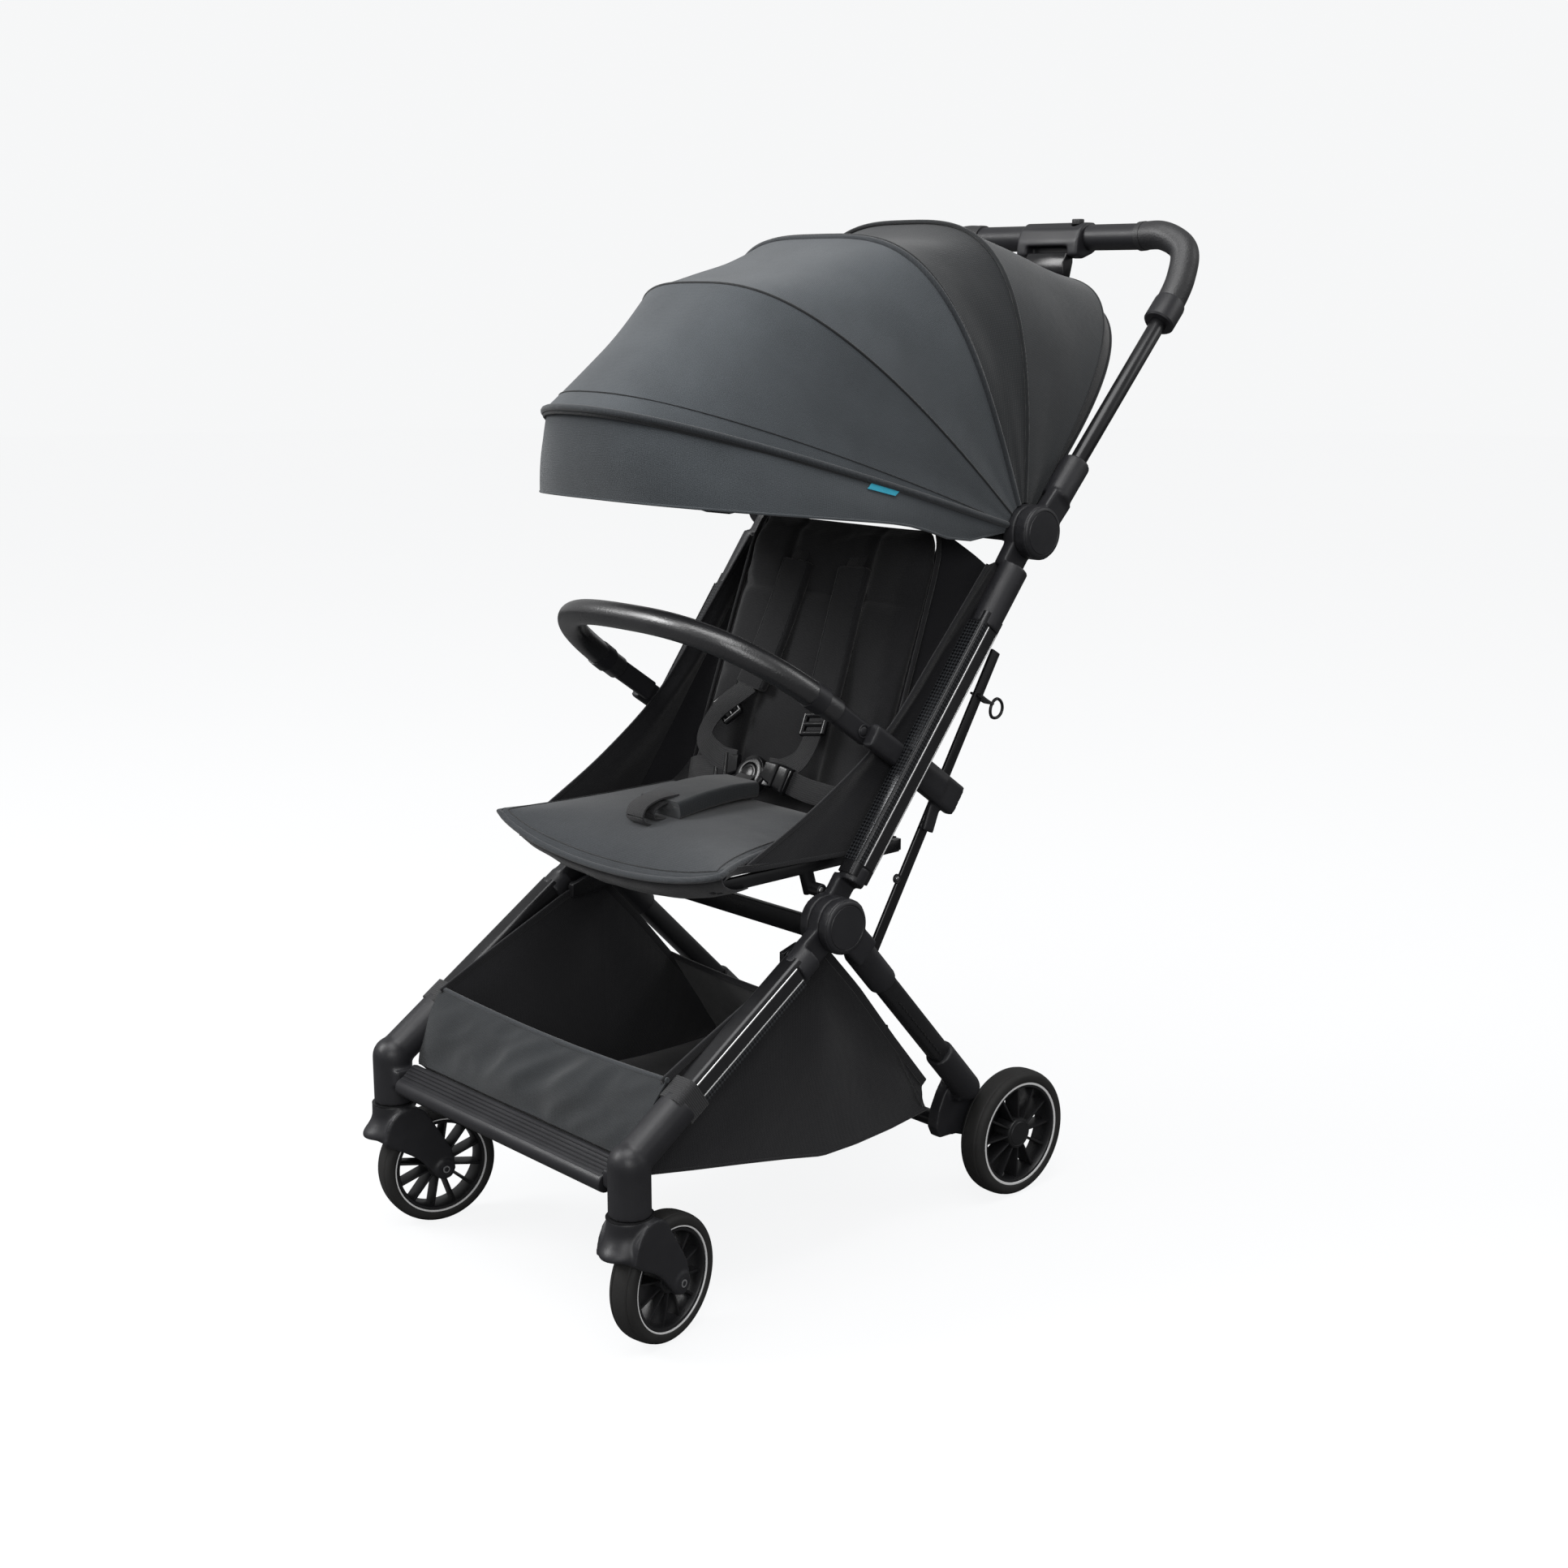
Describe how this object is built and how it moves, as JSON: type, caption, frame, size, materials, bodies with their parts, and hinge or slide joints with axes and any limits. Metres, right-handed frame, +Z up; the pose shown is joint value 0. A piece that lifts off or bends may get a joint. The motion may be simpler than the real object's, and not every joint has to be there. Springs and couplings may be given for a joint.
{
  "type": "baby stroller",
  "caption": "Compact folding baby stroller with swivelling front casters, hooped canopy, bumper bar, reclining sling seat, under-seat basket and a push handle.",
  "frame": {"origin": "centre of the whole stroller's footprint box, on the floor under the wheels", "axes": "+Z up, the child faces -Y, +X is the child's left side"},
  "size_m": [0.4648, 0.8644, 1.075],
  "materials": {
    "side_profile": "gloss with a woven pattern",
    "painted_tube": "satin",
    "plastic": "fine grain",
    "soft_grip": "stitched leather look",
    "tyre": "matte",
    "rim": "semi-gloss",
    "steel": "brushed",
    "grey_cloth": "woven melange",
    "black_cloth": "plain weave"
  },
  "bodies": {
    "front_frame": {"front_elbow_left": "plastic", "front_elbow_right": "plastic", "front_leg_left": "side_profile", "front_leg_right": "side_profile", "lower_hub_left": "plastic", "lower_hub_right": "plastic", "footrest": "plastic", "crossbar": "painted_tube", "basket": "black_cloth"},
    "caster_left": {"caster_fork_left": "plastic", "caster_axle_left": "steel"},
    "caster_right": {"caster_fork_right": "plastic", "caster_axle_right": "steel"},
    "front_wheel_left": {"front_rim_left": "rim", "front_tyre_left": "tyre"},
    "front_wheel_right": {"front_rim_right": "rim", "front_tyre_right": "tyre"},
    "rear_frame": {"rear_knuckle_left": "plastic", "rear_knuckle_right": "plastic", "rear_leg_left": "painted_tube", "rear_leg_right": "painted_tube", "rear_foot_left": "plastic", "rear_foot_right": "plastic", "brake_tube": "painted_tube"},
    "rear_wheel_left": {"rear_rim_left": "rim", "rear_tyre_left": "tyre"},
    "rear_wheel_right": {"rear_rim_right": "rim", "rear_tyre_right": "tyre"},
    "brake_pedal": {"brake_pedal": "plastic"},
    "back_frame": {"lower_knuckle_left": "plastic", "lower_knuckle_right": "plastic", "side_tube_left": "side_profile", "side_tube_right": "side_profile", "upper_hub_left": "plastic", "upper_hub_right": "plastic", "brace_bar_left": "painted_tube", "brace_bar_right": "painted_tube", "bumper_mount_left": "plastic", "bumper_mount_right": "plastic", "canopy_rear_hoop": "painted_tube", "seat_side_left": "black_cloth", "seat_side_right": "black_cloth"},
    "bumper": {"bumper_bar": "soft_grip"},
    "handle": {"handle_knuckle_left": "plastic", "handle_knuckle_right": "plastic", "handle_tube_left": "painted_tube", "handle_tube_right": "painted_tube", "handlebar": "soft_grip", "handle_housing": "plastic"},
    "fold_trigger": {"fold_trigger": "plastic"},
    "lock_button": {"lock_button": "soft_grip"},
    "canopy_front": {"canopy_front_hoop": "painted_tube", "canopy_sheet": "grey_cloth"},
    "canopy_second": {"canopy_second_hoop": "painted_tube"},
    "canopy_third": {"canopy_third_hoop": "painted_tube"},
    "seat_frame": {"seat_frame": "painted_tube", "seat_cushion": "grey_cloth"},
    "backrest": {"backrest": "black_cloth", "buckle": "plastic"},
    "buckle_button": {"buckle_button": "plastic"}
  },
  "joints": [
    {"name": "frame_fold", "type": "hinge", "parent": "front_frame", "child": "back_frame", "pos_m": [0, -0.1358, 0.376], "axis": [1, 0, 0], "range_deg": [0, 115], "deforming": ["seat_side_left", "seat_side_right"]},
    {"name": "rear_leg_fold", "type": "hinge", "parent": "front_frame", "child": "rear_frame", "pos_m": [0, -0.1358, 0.376], "axis": [1, 0, 0], "range_deg": [-55, 0], "deforming": ["basket"]},
    {"name": "handle_fold", "type": "hinge", "parent": "back_frame", "child": "handle", "pos_m": [0, 0.1462, 0.748], "axis": [1, 0, 0], "range_deg": [-133, 0]},
    {"name": "seat_fold", "type": "hinge", "parent": "front_frame", "child": "seat_frame", "pos_m": [0, -0.1318, 0.405], "axis": [1, 0, 0], "range_deg": [0, 47]},
    {"name": "bumper_swing", "type": "hinge", "parent": "back_frame", "child": "bumper", "pos_m": [0, -0.0778, 0.562], "axis": [1, 0, 0], "range_deg": [-79, 0]},
    {"name": "recline", "type": "hinge", "parent": "back_frame", "child": "backrest", "pos_m": [0, -0.0458, 0.44], "axis": [1, 0, 0], "range_deg": [-35, 0]},
    {"name": "canopy_fold", "type": "hinge", "parent": "back_frame", "child": "canopy_third", "pos_m": [0, 0.1462, 0.748], "axis": [1, 0, 0], "range_deg": [-22, 0], "deforming": ["canopy_sheet"]},
    {"name": "canopy_second_fold", "type": "hinge", "parent": "canopy_third", "child": "canopy_second", "pos_m": [0, 0.1462, 0.748], "axis": [1, 0, 0], "range_deg": [-22, 0]},
    {"name": "canopy_front_fold", "type": "hinge", "parent": "canopy_second", "child": "canopy_front", "pos_m": [0, 0.1462, 0.748], "axis": [1, 0, 0], "range_deg": [-22, 0]},
    {"name": "caster_left_swivel", "type": "hinge", "parent": "front_frame", "child": "caster_left", "pos_m": [0.203, -0.4048, 0.14], "axis": [0, 0, 1], "continuous": true},
    {"name": "caster_right_swivel", "type": "hinge", "parent": "front_frame", "child": "caster_right", "pos_m": [-0.203, -0.4048, 0.14], "axis": [0, 0, 1], "continuous": true},
    {"name": "front_wheel_left_spin", "type": "hinge", "parent": "caster_left", "child": "front_wheel_left", "pos_m": [0.19422, -0.35965, 0.065], "axis": [0.9816, 0.1908, 0], "continuous": true},
    {"name": "front_wheel_right_spin", "type": "hinge", "parent": "caster_right", "child": "front_wheel_right", "pos_m": [-0.19422, -0.35965, 0.065], "axis": [0.9816, -0.1908, 0], "continuous": true},
    {"name": "rear_wheel_left_spin", "type": "hinge", "parent": "rear_frame", "child": "rear_wheel_left", "pos_m": [0.183, 0.1582, 0.072], "axis": [1, 0, 0], "continuous": true},
    {"name": "rear_wheel_right_spin", "type": "hinge", "parent": "rear_frame", "child": "rear_wheel_right", "pos_m": [-0.183, 0.1582, 0.072], "axis": [1, 0, 0], "continuous": true},
    {"name": "brake_press", "type": "hinge", "parent": "rear_frame", "child": "brake_pedal", "pos_m": [0, 0.0722, 0.098], "axis": [1, 0, 0], "range_deg": [-20, 0]},
    {"name": "fold_trigger_squeeze", "type": "slide", "parent": "handle", "child": "fold_trigger", "axis": [0, 0, 1], "range_m": [0, 0.006], "stiffness_N_per_m": 600, "springref_m": -0.004},
    {"name": "lock_button_press", "type": "slide", "parent": "handle", "child": "lock_button", "axis": [0, 0, -1], "range_m": [0, 0.004], "stiffness_N_per_m": 500, "springref_m": -0.003},
    {"name": "buckle_button_press", "type": "slide", "parent": "backrest", "child": "buckle_button", "axis": [0, 0.8829, -0.4695], "range_m": [0, 0.002], "stiffness_N_per_m": 800, "springref_m": -0.002}
  ],
  "couplings": [
    {"joint": "rear_leg_fold", "follows": "frame_fold", "ratio": -0.475},
    {"joint": "handle_fold", "follows": "frame_fold", "ratio": -1.15},
    {"joint": "seat_fold", "follows": "frame_fold", "ratio": 0.4},
    {"joint": "bumper_swing", "follows": "frame_fold", "ratio": -0.68},
    {"joint": "canopy_second_fold", "follows": "canopy_fold", "ratio": 1},
    {"joint": "canopy_front_fold", "follows": "canopy_fold", "ratio": 1}
  ]
}
